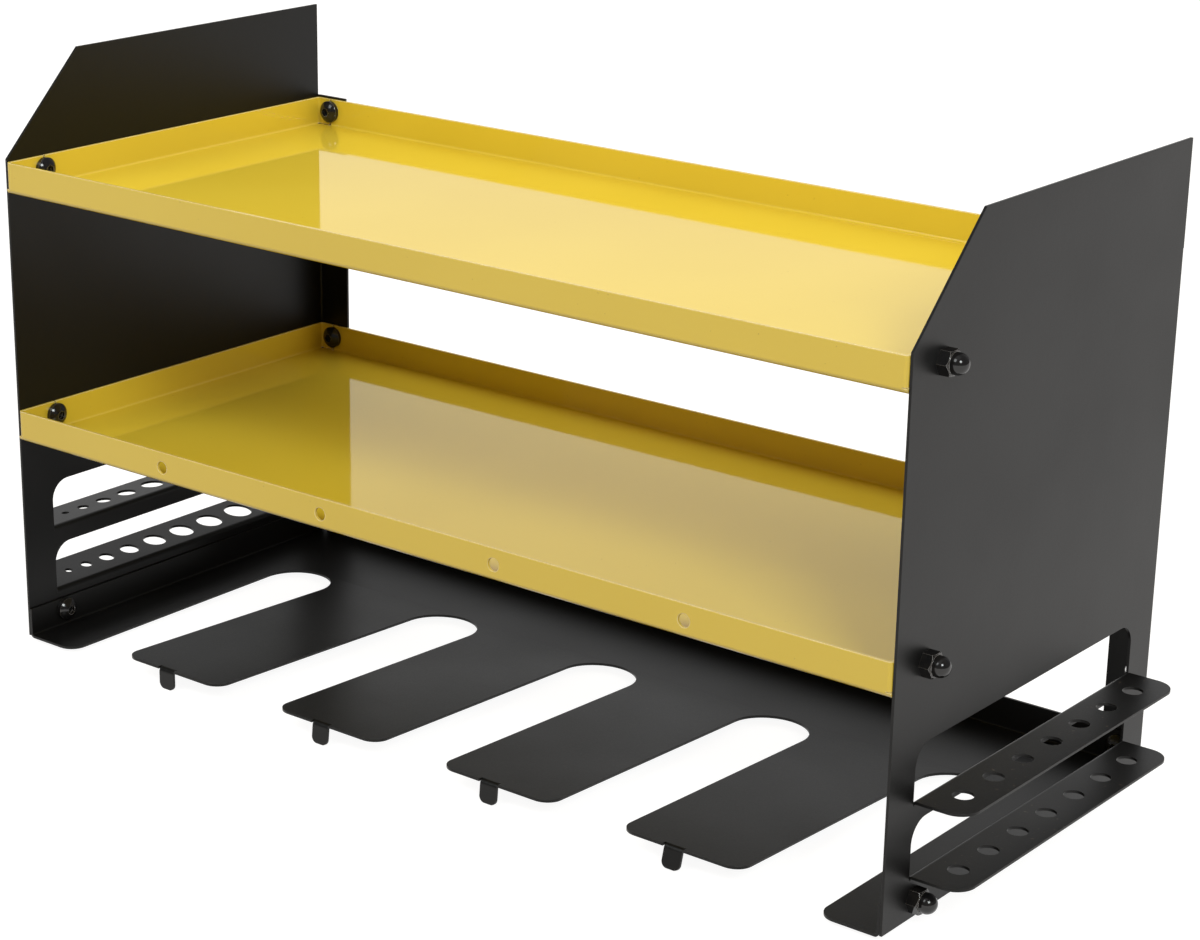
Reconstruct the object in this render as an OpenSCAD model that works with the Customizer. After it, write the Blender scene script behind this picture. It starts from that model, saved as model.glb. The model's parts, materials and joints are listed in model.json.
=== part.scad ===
// Wall-hung power tool organizer, folded from sheet steel and bolted together.
// Two side panels carry two shelf trays and a slotted plate that drills hang in.
// Each side panel has two windows whose flaps are folded outward as racks for bits.
// The origin is the middle of the four outer wall bolts, on the face of the wall.
// +X is the viewer's right, +Y points into the wall and +Z is up.
// Values that end in _h are heights above the lower edge of the side panels,
// unless their comment says otherwise.

/* [Overall] */
// Width over the outer faces of the side panels
outer_w = 500; // [480:1:620]
// Depth from the wall to the front edges
panel_d = 215; // [205:1:260]
// Height of the side panels
panel_h = 287; // [270:1:340]
// Thickness of the sheet
sheet_t = 1.2; // [0.8:0.1:2]
// Inside radius of a fold
bend_r = 1; // [0.5:0.1:2]

/* [Side panels] */
// Size of the corner cut off the top front
chamfer = 47; // [20:1:60]
// Width of the rear flange, over the panel's outer face
flange_w = 20; // [18:0.5:30]
// How far the rear flange reaches above the upper tray
flange_over = 1; // [0:0.5:10]
// Distance from the wall to the panel's rear edge above the flange
ear_gap = 1.4; // [0:0.1:2]
// How far the rear flange starts above the panel's lower edge
flange_foot_gap = 2; // [1:0.5:4]
// Height of the lower wall hole
wall_hole_h = 44.3; // [30:0.1:80]
// Distance from the panel's inner face to the lower wall hole
wall_hole_in = 7; // [6:0.5:12]
// Diameter of the lower wall hole
wall_hole_d = 6.5; // [4:0.5:8]

/* [Windows and racks] */
// Distance from the panel's front edge to the windows
window_front = 18.5; // [12:0.5:30]
// Distance from the wall to the windows
window_rear = 20; // [12:0.5:30]
// Height of a window above its rack
window_rise = 23.4; // [18:0.1:26]
// Radius of a window's upper corners
window_corner_r = 10; // [2:0.5:11]
// Height of the upper racks' top face at the fold
upper_rack_h = 52.2; // [50:0.1:60]
// Height of the lower racks' top face at the fold
lower_rack_h = 19.5; // [18:0.1:22]
// Width of a rack, from the panel's outer face
rack_out = 24.4; // [22:0.1:28]
// Radius of a rack's outer corners
rack_corner_r = 9.5; // [2:0.5:11]
// Slit between a rack's fold and the window's side
rack_slit = 0.3; // [0.2:0.1:1]
// Tilt of the left upper rack, positive when its outer edge is high
left_upper_tilt = -4; // [-8:0.1:8]
// Tilt of the left lower rack, positive when its outer edge is high
left_lower_tilt = 7.3; // [-8:0.1:8]
// Distance from the panel's outer face to the row of rack holes
rack_hole_out = 11.8; // [11:0.1:14]
// Diameter of the right racks' equal holes
even_hole_d = 9; // [4:0.5:12]
// Spacing of the right racks' equal holes
even_hole_pitch = 23.4; // [16:0.1:26]
// Number of equal holes in a right rack
even_hole_n = 7; // [3:1:7]
// Diameters of the left racks' graded holes, from the front
graded_hole_d = [4, 6, 8, 10, 12, 13, 14, 15, 16];
// Web left between two graded holes
graded_web = 7; // [4:0.1:7.5]
// Distance from the rack's front end to the first graded hole
graded_first = 19; // [10:0.1:20]

/* [Trays] */
// Height of the upper tray's underside
upper_tray_h = 223.8; // [200:0.1:235]
// Height of the lower tray's underside
lower_tray_h = 101.8; // [90:0.1:140]
// Height of a tray's walls, from its underside
tray_wall = 15; // [14:0.5:30]
// How far the trays' front walls stand in front of the side panels
tray_proud = 1; // [0:0.1:1.5]
// Diameter of the holes in the lower tray's front wall
tray_hole_d = 6; // [3:0.5:8]
// Height of those holes above the tray's underside
tray_hole_up = 7.4; // [6:0.1:9]
// Gap left where two walls of a tray meet
seam_gap = 0.8; // [0.2:0.1:1]
// Gap left between a tray's floor and the tabs of its corners
tab_floor_gap = 0.2; // [0.1:0.1:1]

/* [Slotted plate] */
// How far the plate's underside lies below the panels' lower edge
plate_drop = 1; // [0:0.1:2]
// Height of the plate's side flanges, from its underside
plate_side = 15; // [14:0.5:17]
// Height of the plate's rear flange, from its underside
plate_rear = 16.5; // [15:0.5:25]
// Number of drill slots
slot_n = 5; // [3:1:5]
// Distance between the middles of two drill slots
slot_pitch = 100; // [80:1:102]
// Width of a drill slot
slot_w = 37.6; // [30:0.1:42]
// Length of a drill slot, from the front edge
slot_l = 157; // [120:1:170]
// Radius of the fingers' front corners
finger_corner_r = 8; // [2:0.5:12]
// How far the fingers rise from the slots' ends to the front edge
finger_rise = 7.2; // [2:0.1:12]
// Width of the stop tab at a finger's tip
tab_w = 9.4; // [8:0.1:16]
// How far a stop tab stands left of its finger's middle
tab_left = 2.8; // [0:0.1:4]
// Length of a stop tab, from the finger's top face
tab_l = 10.4; // [8:0.1:14]
// Radius of a stop tab's lower corners
tab_corner_r = 3; // [1:0.1:4]
// Slit between a stop tab's fold and the finger
tab_slit = 0.6; // [0.3:0.1:1]
// Forward lean of each finger's stop tab, from the left
tab_leans = [0, 6, 5, 15];

/* [Bolts] */
// Thread diameter of the bolts
bolt_d = 6; // [5:0.1:6.2]
// Diameter of the plain neck between a bolt's head and its thread
neck_d = 5.3; // [4.8:0.1:5.6]
// Diameter of the bolt holes in the sheets
bolt_hole_d = 6.5; // [6.3:0.1:7]
// Diameter of a bolt's button head
head_d = 11.2; // [9:0.1:11.5]
// Height of a bolt's button head
head_h = 4.6; // [3.4:0.1:5]
// Height of the straight rim of a button head
head_rim = 1.9; // [0.4:0.1:2.2]
// Width across the flats of the hexagon socket
socket_af = 4; // [3:0.1:4.5]
// Depth of the hexagon socket
socket_deep = 2.2; // [1:0.1:2.4]
// Length of the side bolts under their heads
side_bolt_l = 10; // [8:0.5:10.5]
// Length of the wall bolts under their heads
wall_bolt_l = 12; // [12:1:40]
// Distance from the front edge to the trays' side bolts
tray_bolt_front = 21.8; // [18:0.1:30]
// Height of a tray's bolts above its underside
tray_bolt_up = 8.5; // [8:0.1:9]
// Distance from the front edge to the plate's side bolts
plate_bolt_front = 22.6; // [18:0.1:30]
// Height of the plate's bolts above its underside
plate_bolt_up = 9.1; // [8.5:0.1:9.4]
// Distance from the panel's inner face to the wall bolts
wall_bolt_in = 9.5; // [9.2:0.1:13]

/* [Cap nuts] */
// Width across the flats
nut_af = 10; // [9.8:0.1:11]
// Height of the hexagon
nut_hex = 5; // [4:0.1:6]
// Diameter of the dome
nut_dome_d = 8.9; // [8.5:0.1:9.7]
// Whole height
nut_tall = 10.9; // [10.6:0.1:14]
// Depth of the threaded hole
nut_deep = 8.2; // [8.1:0.1:8.6]

/* [Fits] */
// Gap between two sheets that lie against each other
fit_gap = 0.1; // [0:0.05:0.3]
// Gap round a bolt in its nut
thread_gap = 0.05; // [0.02:0.01:0.1]

/* [Hidden] */
$fn = 64;

// Paints and plating
black_paint = [0.16, 0.155, 0.15];
yellow_paint = [0.86, 0.70, 0.12];
black_steel = [0.08, 0.08, 0.09];

// How far a cut runs past the faces that it cuts
over = 1;
// Outside radius of a fold, which is also how far it reaches
fold = bend_r + sheet_t;
// How far the corner of a fold's wedge lies outside the fold
wedge_share = 1.5;

// Inner faces of the side panels
inner_half = outer_w / 2 - sheet_t;
// Outer faces of what lies between them
filler_half = inner_half - fit_gap;
// Front edges, and the backs of what stands against the rear flanges
front_y = -panel_d;
back_y = -sheet_t - fit_gap;

// Windows and the middles of their racks
window_l = panel_d - window_front - window_rear;
window_y = front_y + window_front + window_l / 2;
rack_l = window_l - 2 * rack_slit;

// Front faces of the trays
tray_front_y = front_y - tray_proud;

// Bolt places
tray_bolt_y = front_y + tray_bolt_front;
plate_bolt_y = front_y + plate_bolt_front;
wall_bolt_x = inner_half - wall_bolt_in;
upper_bolt_h = upper_tray_h + tray_bolt_up;
lower_bolt_h = lower_tray_h + tray_bolt_up;
plate_bolt_h = plate_bolt_up - plate_drop;
// Faces that the bolt heads and the cap nuts bear on
head_x = filler_half - sheet_t;
head_y = back_y - sheet_t;
nut_x = outer_w / 2;
// Length of a bolt's neck, which goes through the two sheets that it clamps
neck_l = 2 * sheet_t + fit_gap;

// Top of the rear flanges
flange_top_h = upper_tray_h + tray_wall + flange_over;
// Height of the origin above the panels' lower edge
origin_h = (upper_bolt_h + plate_bolt_h) / 2;

// Slots and fingers
slot_half = (slot_n - 1) / 2 * slot_pitch;
finger_n = slot_n - 1;
finger_half = (finger_n - 1) / 2 * slot_pitch;
hinge_y = front_y + slot_l;
finger_tilt = asin(finger_rise / slot_l);
// Length of a finger's tilted flat, past the slight fold that lifts it
finger_flat = (slot_l - fold * sin(finger_tilt)) / cos(finger_tilt);

// Taper at the end of a bolt, as a share of its diameter
bolt_taper_share = 0.08;
// Height of the slope on a nut's upper corners, as a share of its width
nut_slope_share = 0.06;

// Middle of graded hole i, measured from the rack's front end
function graded_at(i) =
  i == 0
    ? graded_first
    : graded_at(i - 1) + (graded_hole_d[i - 1] + graded_hole_d[i]) / 2 + graded_web;

// Extrudes an outline drawn in Y and Z along X
module along_x(from, to) {
  translate([from, 0, 0])
    rotate([90, 0, 90])
      linear_extrude(to - from) children();
}

// Extrudes an outline drawn in X and Z along Y
module along_y(from, to) {
  translate([0, to, 0])
    rotate([90, 0, 0])
      linear_extrude(to - from) children();
}

// Extrudes an outline drawn in X and Y along Z
module along_z(from, to) {
  translate([0, 0, from])
    linear_extrude(to - from) children();
}

// Sheet between two corners of an outline
module span(low, high) {
  translate(low)
    square(high - low);
}

// Section of a fold of the sheet about the origin, between two directions
module fold_section(from, to) {
  reach = wedge_share * fold;
  middle = (from + to) / 2;
  intersection() {
    difference() {
      circle(r = fold);
      circle(r = bend_r);
    }
    polygon([
      [0, 0],
      reach * [cos(from), sin(from)],
      reach * [cos(middle), sin(middle)],
      reach * [cos(to), sin(to)]
    ]);
  }
}

// Rectangle from the X axis up, with its two far corners rounded
module tongue(wide, long, corner_r) {
  translate([-wide / 2, 0])
    square([wide, long - corner_r]);
  translate([-wide / 2 + corner_r, 0])
    square([wide - 2 * corner_r, long]);
  for (side = [-1, 1]) {
    translate([side * (wide / 2 - corner_r), long - corner_r])
      circle(r = corner_r);
  }
}

// Hole along X through both faces of a sheet that lies across X
module hole_x(x, y, z, d) {
  translate([x - over, y, z])
    rotate([0, 90, 0])
      cylinder(d = d, h = sheet_t + 2 * over);
}

// Hole along Y through both faces of a sheet that lies across Y
module hole_y(x, y, z, d) {
  translate([x, y - over, z])
    rotate([-90, 0, 0])
      cylinder(d = d, h = sheet_t + 2 * over);
}

// Outline of a side panel in Y and Z, with its inner face at x = 0
module panel_outline() {
  polygon([
    [front_y, 0],
    [-fold, 0],
    [-fold, flange_top_h],
    [-ear_gap, flange_top_h],
    [-ear_gap, panel_h],
    [front_y + chamfer, panel_h],
    [front_y, panel_h - chamfer]
  ]);
}

// Window above a rack, down to the line where the rack's fold starts
module window_outline(rack_h) {
  translate([window_y, rack_h - fold])
    tongue(window_l, fold + window_rise, window_corner_r);
}

// Rack folded outward from the panel's outer face; holes are [place, diameter]
module rack(rack_h, tilt, holes) {
  translate([fold, 0, rack_h - fold])
    rotate([0, -tilt, 0]) {
      along_y(window_y - rack_l / 2, window_y + rack_l / 2)
        fold_section(90, 180 - tilt);
      difference() {
        translate([0, window_y, bend_r])
          rotate([0, 0, -90])
            linear_extrude(sheet_t) tongue(rack_l, rack_out - bend_r, rack_corner_r);
        for (hole = holes) {
          translate([rack_hole_out - bend_r, window_y - rack_l / 2 + hole[0], bend_r - over])
            cylinder(d = hole[1], h = sheet_t + 2 * over);
        }
      }
    }
}

// Side panel with its inner face at x = 0 and its outer face on the +X side
module side_panel(upper_tilt, lower_tilt, holes) {
  difference() {
    along_x(0, sheet_t)
      difference() {
        panel_outline();
        window_outline(upper_rack_h);
        window_outline(lower_rack_h);
      }
    hole_x(0, tray_bolt_y, upper_bolt_h, bolt_hole_d);
    hole_x(0, tray_bolt_y, lower_bolt_h, bolt_hole_d);
    hole_x(0, plate_bolt_y, plate_bolt_h, bolt_hole_d);
  }
  along_z(flange_foot_gap, flange_top_h)
    translate([-bend_r, -fold])
      fold_section(0, 90);
  difference() {
    along_z(flange_foot_gap, flange_top_h)
      span([sheet_t - flange_w, -sheet_t], [-bend_r, 0]);
    for (h = [upper_bolt_h, lower_bolt_h, plate_bolt_h]) {
      hole_y(-wall_bolt_in, -sheet_t, h, bolt_hole_d);
    }
    hole_y(-wall_hole_in, -sheet_t, wall_hole_h, wall_hole_d);
  }
  rack(upper_rack_h, upper_tilt, holes);
  rack(lower_rack_h, lower_tilt, holes);
}

module right_side_panel() {
  first = rack_l / 2 - (even_hole_n - 1) / 2 * even_hole_pitch;
  color(black_paint)
    translate([inner_half, 0, -origin_h])
      side_panel(0, 0, [for (i = [0:even_hole_n - 1]) [first + i * even_hole_pitch, even_hole_d]]);
}

module left_side_panel() {
  last = len(graded_hole_d) - 1;
  color(black_paint)
    translate([-inner_half, 0, -origin_h])
      mirror([1, 0, 0])
        side_panel(
          left_upper_tilt,
          left_lower_tilt,
          [for (i = [0:last]) [graded_at(i), graded_hole_d[i]]]
        );
}

// Floor of a tray, which runs out to its edges under the corner tabs
module tray_floor() {
  span([-filler_half + fold, tray_front_y + fold], [filler_half - fold, back_y - fold]);
  span([-filler_half, tray_front_y + fold], [filler_half, tray_bolt_y - seam_gap / 2]);
  for (side = [0, 1]) {
    mirror([side, 0])
      span([wall_bolt_x + seam_gap / 2, back_y - 2 * fold], [filler_half - fold, back_y]);
  }
}

// Right half of a tray's corner folds, side wall and corner tabs
module tray_side() {
  side_from = tray_bolt_y + seam_gap / 2;
  side_to = back_y - fold;
  // Tab of the front wall, folded back into the plane of the side wall
  along_z(fold + tab_floor_gap, tray_wall) {
    translate([filler_half - fold, tray_front_y + fold])
      fold_section(270, 360);
    span([filler_half - sheet_t, tray_front_y + fold], [filler_half, tray_bolt_y - seam_gap / 2]);
  }
  // Side wall, folded up from the floor
  along_y(side_from, side_to)
    translate([filler_half - fold, fold])
      fold_section(270, 360);
  along_z(fold, tray_wall)
    span([filler_half - sheet_t, side_from], [filler_half, side_to]);
  // Tab of the side wall, folded into the plane of the back wall
  along_z(sheet_t + tab_floor_gap, tray_wall) {
    translate([filler_half - fold, back_y - fold])
      fold_section(0, 90);
    span([wall_bolt_x + seam_gap / 2, back_y - sheet_t], [filler_half - fold, back_y]);
  }
}

// Tray with its underside at z = 0
module tray(front_holes) {
  back_half = wall_bolt_x - seam_gap / 2;
  difference() {
    union() {
      along_z(0, sheet_t)
        tray_floor();
      along_x(-filler_half, filler_half)
        translate([tray_front_y + fold, fold])
          fold_section(180, 270);
      along_z(fold, tray_wall)
        span([-filler_half + fold, tray_front_y], [filler_half - fold, tray_front_y + sheet_t]);
      along_x(-back_half, back_half)
        translate([back_y - fold, fold])
          fold_section(270, 360);
      along_z(fold, tray_wall)
        span([-back_half, back_y - sheet_t], [back_half, back_y]);
      for (side = [0, 1]) {
        mirror([side, 0, 0])
          tray_side();
      }
    }
    for (side = [0, 1]) {
      mirror([side, 0, 0]) {
        hole_x(filler_half - sheet_t, tray_bolt_y, tray_bolt_up, bolt_hole_d);
        hole_y(wall_bolt_x, back_y - sheet_t, tray_bolt_up, bolt_hole_d);
      }
    }
    for (x = front_holes) {
      hole_y(x, tray_front_y, tray_hole_up, tray_hole_d);
    }
  }
}

module upper_tray() {
  color(yellow_paint)
    translate([0, 0, upper_tray_h - origin_h])
      tray([]);
}

// The holes in its front wall are in line with the middles of the fingers
module lower_tray() {
  color(yellow_paint)
    translate([0, 0, lower_tray_h - origin_h])
      tray([for (i = [0:finger_n - 1]) i * slot_pitch - finger_half]);
}

// Outline of one drill slot with its rounded mouth, its middle at x = 0
module slot_outline() {
  slot_r = slot_w / 2;
  span([-slot_r, front_y - over], [slot_r, hinge_y - slot_r]);
  translate([0, hinge_y - slot_r])
    circle(r = slot_r);
  for (side = [0, 1]) {
    mirror([side, 0])
      difference() {
        span([slot_r - over, front_y - over], [slot_r + finger_corner_r, front_y + finger_corner_r]);
        translate([slot_r + finger_corner_r, front_y + finger_corner_r])
          circle(r = finger_corner_r);
      }
  }
}

// Moves to the start of the fingers' tilted flats, with Y along them and their underside at z = 0
module on_fingers() {
  translate([0, hinge_y, fold])
    rotate([-finger_tilt, 0, 0])
      translate([0, 0, -fold])
        children();
}

// Slight fold and tilted flat of the fingers, before the slots are cut
module finger_sheet() {
  along_x(-slot_half, slot_half)
    translate([hinge_y, fold])
      fold_section(270 - finger_tilt, 270);
  on_fingers()
    along_z(0, sheet_t)
      span([-slot_half, -finger_flat], [slot_half, 0]);
}

// Stop tab folded down at a finger's tip, its middle at x = 0
module stop_tab(lean) {
  extra = lean - finger_tilt;
  translate([0, fold - finger_flat, -bend_r])
    rotate([-extra, 0, 0]) {
      along_x(-tab_w / 2, tab_w / 2)
        fold_section(90 + extra, 180);
      translate([0, -bend_r, 0])
        rotate([90, 0, 0])
          linear_extrude(sheet_t)
            mirror([0, 1])
              tongue(tab_w, tab_l - fold, tab_corner_r);
    }
}

// Plate with its underside at z = 0
module plate_body() {
  side_to = back_y - fold - seam_gap;
  rear_half = filler_half - fold - seam_gap;
  notch_half = tab_w / 2 + tab_slit;
  difference() {
    union() {
      along_z(0, sheet_t) {
        span([-filler_half + fold, hinge_y], [filler_half - fold, back_y - fold]);
        for (side = [0, 1]) {
          mirror([side, 0])
            span([slot_half, front_y], [filler_half - fold, hinge_y + over]);
        }
      }
      finger_sheet();
    }
    for (i = [0:slot_n - 1]) {
      along_z(-over, sheet_t + finger_rise + over)
        translate([i * slot_pitch - slot_half, 0])
          slot_outline();
    }
    on_fingers()
      for (i = [0:finger_n - 1]) {
        translate([i * slot_pitch - finger_half - tab_left, 0, 0])
          along_z(-over, sheet_t + over)
            span([-notch_half, -finger_flat - over], [notch_half, fold - finger_flat]);
      }
  }
  on_fingers()
    for (i = [0:finger_n - 1]) {
      translate([i * slot_pitch - finger_half - tab_left, 0, 0])
        stop_tab(tab_leans[i]);
    }
  for (side = [0, 1]) {
    mirror([side, 0, 0])
      difference() {
        union() {
          along_y(front_y, side_to)
            translate([filler_half - fold, fold])
              fold_section(270, 360);
          along_z(fold, plate_side)
            span([filler_half - sheet_t, front_y], [filler_half, side_to]);
        }
        hole_x(filler_half - sheet_t, plate_bolt_y, plate_bolt_up, bolt_hole_d);
      }
  }
  difference() {
    union() {
      along_x(-rear_half, rear_half)
        translate([back_y - fold, fold])
          fold_section(270, 360);
      along_z(fold, plate_rear)
        span([-rear_half, back_y - sheet_t], [rear_half, back_y]);
    }
    for (side = [-1, 1]) {
      hole_y(side * wall_bolt_x, back_y - sheet_t, plate_bolt_up, bolt_hole_d);
    }
  }
}

module slotted_plate() {
  color(black_paint)
    translate([0, 0, -plate_drop - origin_h])
      plate_body();
}

// Button-head bolt that points up, with the underside of its head at z = 0
module button_bolt(long) {
  taper = bolt_taper_share * bolt_d;
  cap = head_h - head_rim;
  cap_r = (cap * cap + head_d * head_d / 4) / (2 * cap);
  color(black_steel) {
    cylinder(d = neck_d, h = neck_l);
    translate([0, 0, neck_l])
      cylinder(d = bolt_d, h = long - taper - neck_l);
    translate([0, 0, long - taper])
      cylinder(d1 = bolt_d, d2 = bolt_d - 2 * taper, h = taper);
    mirror([0, 0, 1])
      difference() {
        rotate_extrude() {
          square([head_d / 2, head_rim]);
          intersection() {
            translate([0, head_h - cap_r])
              circle(r = cap_r);
            translate([0, head_rim])
              square([head_d / 2, cap]);
          }
        }
        translate([0, 0, head_h - socket_deep])
          cylinder(d = socket_af / cos(30), h = socket_deep + over, $fn = 6);
      }
  }
}

// Domed cap nut that points up, with its bearing face at z = 0 and two corners along Y
module cap_nut() {
  corner_r = nut_af / 2 / cos(30);
  slope = nut_slope_share * nut_af;
  dome_r = nut_dome_d / 2;
  color(black_steel)
    difference() {
      union() {
        intersection() {
          rotate([0, 0, 30])
            cylinder(r = corner_r, h = nut_hex, $fn = 6);
          rotate_extrude()
            polygon([
              [0, 0],
              [corner_r, 0],
              [corner_r, nut_hex - slope],
              [nut_af / 2, nut_hex],
              [0, nut_hex]
            ]);
        }
        cylinder(r = dome_r, h = nut_tall - dome_r);
        translate([0, 0, nut_tall - dome_r])
          sphere(r = dome_r);
      }
      translate([0, 0, -over])
        cylinder(d = bolt_d + 2 * thread_gap, h = nut_deep + over);
    }
}

// Puts a child that points up on a side panel, pointing outward on that side
module on_side(side, x, y, h) {
  translate([side * x, y, h - origin_h])
    rotate([0, side * 90, 0])
      children();
}

// Puts a child that points up on the rear wall of a tray or of the plate, pointing at the wall
module on_rear(side, h) {
  translate([side * wall_bolt_x, head_y, h - origin_h])
    rotate([-90, 0, 0])
      children();
}

module side_bolt(side, y, h) {
  on_side(side, head_x, y, h)
    button_bolt(side_bolt_l);
}

module side_nut(side, y, h) {
  on_side(side, nut_x, y, h)
    cap_nut();
}

module wall_bolt(side, h) {
  on_rear(side, h)
    button_bolt(wall_bolt_l);
}

left_side_panel();
right_side_panel();
upper_tray();
lower_tray();
slotted_plate();
side_bolt(-1, tray_bolt_y, upper_bolt_h);  // upper_tray_left_bolt
side_bolt(1, tray_bolt_y, upper_bolt_h);  // upper_tray_right_bolt
side_bolt(-1, tray_bolt_y, lower_bolt_h);  // lower_tray_left_bolt
side_bolt(1, tray_bolt_y, lower_bolt_h);  // lower_tray_right_bolt
side_bolt(-1, plate_bolt_y, plate_bolt_h);  // plate_left_bolt
side_bolt(1, plate_bolt_y, plate_bolt_h);  // plate_right_bolt
side_nut(-1, tray_bolt_y, upper_bolt_h);  // upper_tray_left_cap_nut
side_nut(1, tray_bolt_y, upper_bolt_h);  // upper_tray_right_cap_nut
side_nut(-1, tray_bolt_y, lower_bolt_h);  // lower_tray_left_cap_nut
side_nut(1, tray_bolt_y, lower_bolt_h);  // lower_tray_right_cap_nut
side_nut(-1, plate_bolt_y, plate_bolt_h);  // plate_left_cap_nut
side_nut(1, plate_bolt_y, plate_bolt_h);  // plate_right_cap_nut
wall_bolt(-1, upper_bolt_h);  // upper_left_wall_bolt
wall_bolt(1, upper_bolt_h);  // upper_right_wall_bolt
wall_bolt(-1, lower_bolt_h);  // middle_left_wall_bolt
wall_bolt(1, lower_bolt_h);  // middle_right_wall_bolt
wall_bolt(-1, plate_bolt_h);  // lower_left_wall_bolt
wall_bolt(1, plate_bolt_h);  // lower_right_wall_bolt
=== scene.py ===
import json
import math

import bmesh
import bpy
from mathutils import Matrix, Vector


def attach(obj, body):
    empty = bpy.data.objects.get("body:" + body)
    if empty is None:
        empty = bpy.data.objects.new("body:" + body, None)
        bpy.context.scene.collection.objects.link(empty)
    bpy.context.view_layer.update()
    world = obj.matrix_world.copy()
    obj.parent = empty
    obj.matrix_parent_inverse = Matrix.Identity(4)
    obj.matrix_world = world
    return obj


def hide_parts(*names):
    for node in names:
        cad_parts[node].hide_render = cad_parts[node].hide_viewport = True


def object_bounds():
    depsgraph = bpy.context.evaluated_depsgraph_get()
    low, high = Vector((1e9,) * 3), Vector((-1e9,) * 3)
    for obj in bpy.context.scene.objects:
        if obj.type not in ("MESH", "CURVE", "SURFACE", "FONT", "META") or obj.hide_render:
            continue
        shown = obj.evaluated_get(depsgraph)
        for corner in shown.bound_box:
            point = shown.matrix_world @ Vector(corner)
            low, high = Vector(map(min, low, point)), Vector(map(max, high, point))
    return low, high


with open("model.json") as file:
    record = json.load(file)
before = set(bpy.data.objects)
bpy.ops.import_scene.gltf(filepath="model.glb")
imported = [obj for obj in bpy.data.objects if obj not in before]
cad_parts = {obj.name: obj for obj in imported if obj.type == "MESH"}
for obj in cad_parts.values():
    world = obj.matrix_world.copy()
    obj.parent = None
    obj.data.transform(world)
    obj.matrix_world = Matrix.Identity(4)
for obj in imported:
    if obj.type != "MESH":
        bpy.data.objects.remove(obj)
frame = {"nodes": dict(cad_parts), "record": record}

scene = bpy.context.scene
nodes = frame["nodes"]
cad_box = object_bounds()


def rgb(r, g, b):
    return (r, g, b, 1.0)


WHITE = rgb(1.0, 1.0, 1.0)

# ---------------------------------------------------------------- camera
# The eye's place in metres and the view's axes
EYE = (0.78988, -1.10756, 0.41603)
RIGHT = (0.777296, 0.629049, 0.010436)
DOWN = (0.216123, -0.251404, -0.943444)
AHEAD = (-0.590849, 0.735591, -0.331367)
# The image's size, focal length and optical centre, in pixels
IMAGE_W, IMAGE_H = 1200, 940
FOCAL_PX = 2914.78
CENTRE_PX = (537.25, 520.41)
SENSOR_MM = 36.0
NEAREST = 0.01
FURTHEST = 100


def make_camera():
    data = bpy.data.cameras.new("camera")
    data.sensor_fit = "HORIZONTAL"
    data.sensor_width = SENSOR_MM
    data.lens = FOCAL_PX * SENSOR_MM / IMAGE_W
    data.shift_x = (IMAGE_W / 2 - CENTRE_PX[0]) / IMAGE_W
    data.shift_y = (CENTRE_PX[1] - IMAGE_H / 2) / IMAGE_W
    data.clip_start = NEAREST
    data.clip_end = FURTHEST
    camera = bpy.data.objects.new("camera", data)
    scene.collection.objects.link(camera)
    columns = (Vector(RIGHT), -Vector(DOWN), -Vector(AHEAD))
    turn = Matrix(columns).transposed().to_4x4()
    camera.matrix_world = Matrix.Translation(EYE) @ turn
    scene.camera = camera


make_camera()

# ---------------------------------------------------------------- node helpers
# Sockets for colours on a Mix node
MIX_A, MIX_B, MIX_RESULT = 6, 7, 2
# Where most values of a noise lie
NOISE_LOW, NOISE_HIGH = 0.3, 0.7
BEVEL_SAMPLES = 4


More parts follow.
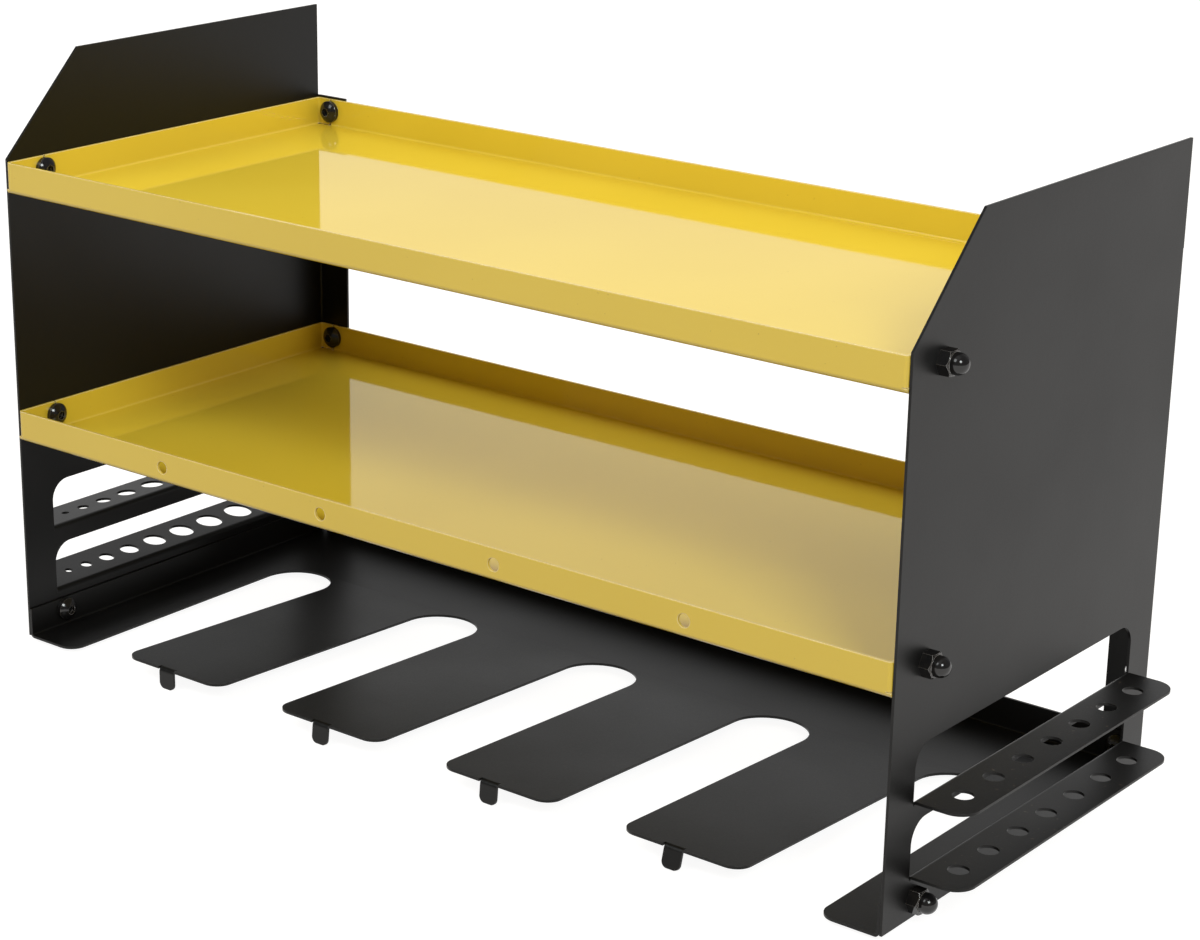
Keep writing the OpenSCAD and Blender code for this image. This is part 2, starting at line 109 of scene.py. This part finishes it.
class Tree:
    """Short calls for building a node tree."""

    def __init__(self, owner):
        owner.use_nodes = True
        self.tree = owner.node_tree
        self.tree.nodes.clear()
        world = isinstance(owner, bpy.types.World)
        self.output = self.add("ShaderNodeOutputWorld" if world else "ShaderNodeOutputMaterial")

    def add(self, kind, **settings):
        node = self.tree.nodes.new(kind)
        for key, value in settings.items():
            setattr(node, key, value)
        return node

    def link(self, source, socket):
        self.tree.links.new(source, socket)

    def put(self, value, socket):
        """Links a socket to a value that is a socket, and sets it to any other value."""
        if isinstance(value, bpy.types.NodeSocket):
            self.link(value, socket)
        else:
            socket.default_value = value

    def surface(self, shader):
        self.link(shader.outputs[0], self.output.inputs["Surface"])

    def place(self):
        return self.add("ShaderNodeTexCoord").outputs["Object"]

    def along(self, axis):
        """Place along one axis of the shared frame."""
        parts = self.add("ShaderNodeSeparateXYZ")
        self.link(self.place(), parts.inputs[0])
        return parts.outputs[axis]

    def towards(self, side):
        """How well the world's direction agrees with a side, from -1 to 1."""
        dot = self.add("ShaderNodeVectorMath", operation="DOT_PRODUCT")
        self.link(self.add("ShaderNodeTexCoord").outputs["Generated"], dot.inputs[0])
        dot.inputs[1].default_value = side
        return dot.outputs["Value"]

    def noise(self, scale, detail, rough=0.5, offset=0.0):
        vector = self.place()
        if offset:
            mapping = self.add("ShaderNodeMapping")
            self.link(vector, mapping.inputs["Vector"])
            mapping.inputs["Location"].default_value = (offset, offset, offset)
            vector = mapping.outputs["Vector"]
        node = self.add("ShaderNodeTexNoise")
        self.link(vector, node.inputs["Vector"])
        node.inputs["Scale"].default_value = scale
        node.inputs["Detail"].default_value = detail
        node.inputs["Roughness"].default_value = rough
        return node.outputs["Fac"]

    def math(self, operation, a, b):
        node = self.add("ShaderNodeMath", operation=operation)
        self.put(a, node.inputs[0])
        self.put(b, node.inputs[1])
        return node.outputs[0]

    def span(self, value, low, high, to_low=0.0, to_high=1.0):
        """Maps low to high onto another range, and holds what lies outside at its ends."""
        node = self.add("ShaderNodeMapRange", clamp=True)
        self.put(value, node.inputs["Value"])
        node.inputs["From Min"].default_value = low
        node.inputs["From Max"].default_value = high
        node.inputs["To Min"].default_value = to_low
        node.inputs["To Max"].default_value = to_high
        return node.outputs["Result"]

    def spread(self, noise, to_low=0.0, to_high=1.0):
        """Maps most values of a noise onto a range."""
        return self.span(noise, NOISE_LOW, NOISE_HIGH, to_low, to_high)

    def mix(self, share, a, b):
        node = self.add("ShaderNodeMix", data_type="RGBA")
        self.put(share, node.inputs["Factor"])
        self.put(a, node.inputs[MIX_A])
        self.put(b, node.inputs[MIX_B])
        return node.outputs[MIX_RESULT]

    def touch(self, base, mask, share, colour):
        """A colour with a share of another one where the mask is 1."""
        return self.mix(self.math("MULTIPLY", mask, share), base, colour)

    def bump(self, height, strength, distance, normal):
        node = self.add("ShaderNodeBump")
        node.inputs["Strength"].default_value = strength
        node.inputs["Distance"].default_value = distance
        self.link(height, node.inputs["Height"])
        self.link(normal, node.inputs["Normal"])
        return node.outputs["Normal"]

    def round_edges(self, radius):
        node = self.add("ShaderNodeBevel", samples=BEVEL_SAMPLES)
        node.inputs["Radius"].default_value = radius
        return node.outputs["Normal"]

    def edge_mask(self, radius, low, high=0.99):
        """1 on the rounded edges, 0 on the flats."""
        dot = self.add("ShaderNodeVectorMath", operation="DOT_PRODUCT")
        self.link(self.round_edges(radius), dot.inputs[0])
        self.link(self.add("ShaderNodeNewGeometry").outputs["True Normal"], dot.inputs[1])
        return self.span(dot.outputs["Value"], high, low)

    def facing_up(self, low, high):
        """1 where a face looks up, 0 where it is steep."""
        parts = self.add("ShaderNodeSeparateXYZ")
        self.link(self.add("ShaderNodeNewGeometry").outputs["Normal"], parts.inputs[0])
        return self.span(parts.outputs["Z"], low, high)


# ---------------------------------------------------------------- materials
COAT_DARK = rgb(0.0030, 0.0030, 0.0031)
COAT_LIGHT = rgb(0.0050, 0.0050, 0.0051)
# Lighter colour on the rounded edges of the powder coat: a painted highlight
COAT_EDGE_HIGHLIGHT = rgb(0.035, 0.034, 0.033)
COAT_IOR = 1.345
DUST = rgb(0.10, 0.080, 0.060)
# Right of this place in metres the racks show all of the dust, and elsewhere a share of it
DUSTY_FROM = 0.245
DUSTY_FADE = 0.01
DUST_ELSEWHERE = 0.15

PAINT_DARK = rgb(0.67, 0.503, 0.037)
PAINT_LIGHT = rgb(0.71, 0.540, 0.047)
# Near-white colour on the rounded edges of the yellow paint: a painted highlight
PAINT_EDGE_HIGHLIGHT = rgb(0.97, 0.89, 0.58)
PAINT_SPECK = rgb(0.30, 0.17, 0.02)
PAINT_IOR = 1.55

STEEL_DARK = rgb(0.006, 0.006, 0.007)
STEEL_LIGHT = rgb(0.011, 0.0105, 0.0105)
# Light grey colour on the edges of the bolts and cap nuts: a painted highlight
STEEL_EDGE_HIGHLIGHT = rgb(0.55, 0.54, 0.53)
STEEL_IOR = 1.52


def powder_coat():
    """Satin black powder coat with a fine grain, faint clouds, a little dust and a painted highlight
    along its edges.
    """
    material = bpy.data.materials.new("black_powder_coat")
    t = Tree(material)
    shader = t.add("ShaderNodeBsdfPrincipled")
    cloud = t.noise(scale=9, detail=3, rough=0.55)
    grain = t.noise(scale=1400, detail=2, rough=0.6)
    speck = t.noise(scale=420, detail=1, offset=3.1)
    patch = t.noise(scale=30, detail=2, offset=7.7)
    base = t.mix(t.spread(cloud), COAT_DARK, COAT_LIGHT)
    # Painted highlight: the rounded edges are lightened
    edge_highlight = t.edge_mask(radius=0.0004, low=0.80)
    base = t.touch(base, edge_highlight, 0.5, COAT_EDGE_HIGHLIGHT)
    dust = t.math("MULTIPLY", t.facing_up(low=0.6, high=0.95), t.span(speck, 0.70, 0.78))
    dust = t.math("MULTIPLY", dust, t.span(patch, 0.45, 0.55))
    dusty_side = t.span(t.along("X"), DUSTY_FROM, DUSTY_FROM + DUSTY_FADE, to_low=DUST_ELSEWHERE)
    dust = t.math("MULTIPLY", dust, dusty_side)
    base = t.touch(base, dust, 0.6, DUST)
    t.put(base, shader.inputs["Base Color"])
    rough = t.math("ADD", t.spread(cloud, 0.36, 0.44), t.spread(grain, -0.03, 0.03))
    t.put(rough, shader.inputs["Roughness"])
    shader.inputs["IOR"].default_value = COAT_IOR
    ripple = t.noise(scale=260, detail=2)
    normal = t.round_edges(radius=0.0003)
    normal = t.bump(ripple, strength=0.10, distance=0.0002, normal=normal)
    normal = t.bump(grain, strength=0.12, distance=0.00006, normal=normal)
    t.put(normal, shader.inputs["Normal"])
    t.surface(shader)
    return material


def gloss_paint():
    """High-gloss yellow paint with a faint orange peel, a painted highlight along its edges and
    small dark specks.
    """
    material = bpy.data.materials.new("yellow_gloss_paint")
    t = Tree(material)
    shader = t.add("ShaderNodeBsdfPrincipled")
    cloud = t.noise(scale=7, detail=2)
    base = t.mix(t.spread(cloud), PAINT_DARK, PAINT_LIGHT)
    # Painted highlight: the rounded edges are mixed toward a pale cream
    edge_highlight = t.edge_mask(radius=0.0008, low=0.80)
    base = t.touch(base, edge_highlight, 0.85, PAINT_EDGE_HIGHLIGHT)
    speck = t.span(t.noise(scale=650, detail=1, offset=1.7), 0.795, 0.815)
    base = t.touch(base, speck, 0.5, PAINT_SPECK)
    t.put(base, shader.inputs["Base Color"])
    smear = t.noise(scale=60, detail=3, rough=0.6)
    t.put(t.spread(smear, 0.035, 0.065), shader.inputs["Roughness"])
    shader.inputs["IOR"].default_value = PAINT_IOR
    wave = t.noise(scale=14, detail=1, rough=0.4)
    peel = t.noise(scale=240, detail=2)
    normal = t.round_edges(radius=0.0006)
    normal = t.bump(wave, strength=0.10, distance=0.0006, normal=normal)
    normal = t.bump(peel, strength=0.06, distance=0.0001, normal=normal)
    t.put(normal, shader.inputs["Normal"])
    t.surface(shader)
    return material


def plated_steel():
    """Glossy black plating on the bolts and cap nuts, with a painted highlight along their edges."""
    material = bpy.data.materials.new("black_plated_steel")
    t = Tree(material)
    shader = t.add("ShaderNodeBsdfPrincipled")
    cloud = t.noise(scale=220, detail=3, rough=0.6)
    base = t.mix(t.span(cloud, 0.35, 0.65), STEEL_DARK, STEEL_LIGHT)
    # Painted highlight: the edges are lighter and partly metallic
    edge_highlight = t.edge_mask(radius=0.0003, low=0.75)
    base = t.touch(base, edge_highlight, 0.9, STEEL_EDGE_HIGHLIGHT)
    t.put(base, shader.inputs["Base Color"])
    t.put(t.math("MULTIPLY", edge_highlight, 0.7), shader.inputs["Metallic"])
    t.put(t.spread(cloud, 0.08, 0.13), shader.inputs["Roughness"])
    shader.inputs["IOR"].default_value = STEEL_IOR
    grain = t.noise(scale=1500, detail=2, rough=0.6)
    normal = t.round_edges(radius=0.0003)
    normal = t.bump(grain, strength=0.10, distance=0.00005, normal=normal)
    t.put(normal, shader.inputs["Normal"])
    t.surface(shader)
    return material


MAKERS = {
    "black_powder_coat": powder_coat,
    "yellow_gloss_paint": gloss_paint,
    "black_plated_steel": plated_steel,
}
materials = {m["slot"]: MAKERS[m["slot"]]() for m in frame["record"]["materials"]}
for part in frame["record"]["subparts"]:
    mesh = nodes[part["node"]].data
    mesh.materials.clear()
    mesh.materials.append(materials[part["material_slot"]])

# ---------------------------------------------------------------- threads of the wall bolts
# Metres, apart from the flat at a crest or root, which is a share of the pitch
THREAD_R = 0.00299
THREAD_DEEP = 0.00058
THREAD_PITCH = 0.001
THREAD_FLAT = 0.12
THREAD_SIDES = 40
ROWS_PER_PITCH = 10
END_TAPER = 0.0007
FLAT_TOLERANCE = 1e-6


def thread_radius(y, turn, end):
    """Radius of the thread at a place along the bolt and a share of a turn."""
    phase = (y / THREAD_PITCH - turn) % 1.0
    rise = (abs(phase - 0.5) * 2 - THREAD_FLAT) / (1 - 2 * THREAD_FLAT)
    rise = min(1.0, max(0.0, rise))
    tapered = THREAD_R - max(0.0, y - end + END_TAPER)
    return min(THREAD_R - THREAD_DEEP * rise, tapered)


def thread_rings(bm, centre_x, centre_z, end):
    """Rings of points along the thread, from the wall's face to the bolt's end."""
    rows = round(end / THREAD_PITCH * ROWS_PER_PITCH)
    rings = []
    for i in range(rows + 1):
        y = end * i / rows
        ring = []
        for k in range(THREAD_SIDES):
            turn = k / THREAD_SIDES
            radius = thread_radius(y, turn, end)
            angle = 2 * math.pi * turn
            x = centre_x + radius * math.cos(angle)
            z = centre_z + radius * math.sin(angle)
            ring.append(bm.verts.new((x, y, z)))
        rings.append(ring)
    return rings


def threaded_bolt(node_name):
    """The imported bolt's head and neck with a real helical thread behind the wall's face."""
    mesh = bpy.data.meshes.new("threaded_" + node_name)
    bm = bmesh.new()
    bm.from_mesh(nodes[node_name].data)
    end = max(v.co.y for v in bm.verts)
    centre_x = (min(v.co.x for v in bm.verts) + max(v.co.x for v in bm.verts)) / 2
    centre_z = (min(v.co.z for v in bm.verts) + max(v.co.z for v in bm.verts)) / 2
    behind = [f for f in bm.faces if all(v.co.y > -FLAT_TOLERANCE for v in f.verts)]
    bmesh.ops.delete(bm, geom=behind, context="FACES")
    rings = thread_rings(bm, centre_x, centre_z, end)
    for lower, upper in zip(rings, rings[1:]):
        for k in range(THREAD_SIDES):
            m = (k + 1) % THREAD_SIDES
            face = bm.faces.new((lower[k], upper[k], upper[m], lower[m]))
            face.smooth = True
    bm.faces.new(rings[0])
    bm.faces.new(list(reversed(rings[-1])))
    bmesh.ops.recalc_face_normals(bm, faces=bm.faces[:])
    bm.to_mesh(mesh)
    bm.free()
    mesh.materials.append(materials["black_plated_steel"])
    bolt = bpy.data.objects.new("threaded_" + node_name, mesh)
    scene.collection.objects.link(bolt)
    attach(bolt, "root")
    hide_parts(node_name)


for name in nodes:
    if name.endswith("_wall_bolt"):
        threaded_bolt(name)

# ---------------------------------------------------------------- floor
# Metres: the gap under the object, and half of the floor's side
FLOOR_GAP = 0.0002
FLOOR_HALF = 6.0
FLOOR_GREY = rgb(0.22, 0.22, 0.22)
# What it adds for the camera, and for reflections
FLOOR_GLOW = 0.92
FLOOR_GLOSS = 0.93


def gloss_rays(t, path):
    """1 for rays from a reflection or through glass."""
    return t.math("MAXIMUM", path.outputs["Is Glossy Ray"], path.outputs["Is Transmission Ray"])


def floor_glow(t):
    """What the floor adds to its lit colour, where the camera or a reflection looks at it."""
    path = t.add("ShaderNodeLightPath")
    mirrored = t.math("MULTIPLY", gloss_rays(t, path), FLOOR_GLOSS)
    seen = t.math("MULTIPLY", path.outputs["Is Camera Ray"], FLOOR_GLOW)
    return t.math("ADD", seen, mirrored)


def make_floor():
    s = FLOOR_HALF
    z = cad_box[0][2] - FLOOR_GAP
    corners = [(-s, -s, z), (s, -s, z), (s, s, z), (-s, s, z)]
    mesh = bpy.data.meshes.new("floor")
    mesh.from_pydata(corners, [], [(0, 1, 2, 3)])
    floor = bpy.data.objects.new("floor", mesh)
    scene.collection.objects.link(floor)
    material = bpy.data.materials.new("floor_white")
    t = Tree(material)
    diffuse = t.add("ShaderNodeBsdfDiffuse")
    diffuse.inputs["Color"].default_value = FLOOR_GREY
    glow = t.add("ShaderNodeEmission")
    t.put(floor_glow(t), glow.inputs["Strength"])
    both = t.add("ShaderNodeAddShader")
    t.link(diffuse.outputs[0], both.inputs[0])
    t.link(glow.outputs[0], both.inputs[1])
    t.surface(both)
    mesh.materials.append(material)


make_floor()

# ---------------------------------------------------------------- world
# The side that lights the object, how near to it the light begins and is full, and its strength
# there and in the rest of the room
BACKLIGHT_SIDE = (-0.15, 0.90, 0.40)
BACKLIGHT_FROM, BACKLIGHT_FULL = 0.20, 0.75
BACKLIGHT = 1.6
ROOM_LIGHT = 0.58
ROOM_TINT = rgb(1.0, 0.72, 0.42)
# The same for the backdrop that glossy surfaces mirror
BACKDROP_SIDE = (-0.61, 0.73, 0.31)
BACKDROP_FROM, BACKDROP_FULL = 0.72, 0.93
BACKDROP_GLOSS = 0.78
ROOM_GLOSS = 0.18


def make_world():
    """White for the camera, a backdrop for reflections, and a backlight in a dimmer, warmer room."""
    world = bpy.data.worlds.new("studio")
    scene.world = world
    t = Tree(world)
    background = t.add("ShaderNodeBackground")
    backlight = t.towards(BACKLIGHT_SIDE)
    backdrop = t.towards(BACKDROP_SIDE)
    lit = t.span(backlight, BACKLIGHT_FROM, BACKLIGHT_FULL, ROOM_LIGHT, BACKLIGHT)
    mirrored = t.span(backdrop, BACKDROP_FROM, BACKDROP_FULL, ROOM_GLOSS, BACKDROP_GLOSS)
    path = t.add("ShaderNodeLightPath")
    camera_ray = path.outputs["Is Camera Ray"]
    gloss_ray = gloss_rays(t, path)
    level = t.add("ShaderNodeMix", data_type="FLOAT")
    t.put(gloss_ray, level.inputs["Factor"])
    t.put(lit, level.inputs["A"])
    t.put(mirrored, level.inputs["B"])
    strength = t.math("MAXIMUM", camera_ray, level.outputs["Result"])
    t.put(strength, background.inputs["Strength"])
    tint = t.mix(t.span(backlight, BACKLIGHT_FROM, BACKLIGHT_FULL), ROOM_TINT, WHITE)
    plain = t.math("MAXIMUM", camera_ray, gloss_ray)
    t.put(t.mix(plain, tint, WHITE), background.inputs["Color"])
    t.surface(background)


make_world()

# ---------------------------------------------------------------- lamps
LAMP_COLOUR = (0.95, 1.0, 0.99)
LAMP_TARGET = (0.0, -0.1, 0.0)


def area_lamp(name, place, size, power):
    data = bpy.data.lights.new(name, "AREA")
    data.shape = "RECTANGLE"
    data.size, data.size_y = size
    data.energy = power
    data.color = LAMP_COLOUR
    lamp = bpy.data.objects.new(name, data)
    scene.collection.objects.link(lamp)
    lamp.location = place
    aim = Vector(LAMP_TARGET) - Vector(place)
    lamp.rotation_euler = aim.to_track_quat("-Z", "Y").to_euler()


area_lamp("top_softbox", place=(0.0, -0.6, 1.9), size=(1.8, 1.4), power=2)
area_lamp("front_softbox", place=(-0.5, -1.70, 1.65), size=(1.5, 1.0), power=19)
area_lamp("right_softbox", place=(2.8, -2.0, 2.4), size=(1.2, 1.2), power=73)

# ---------------------------------------------------------------- render set-up
scene.view_settings.view_transform = "Standard"
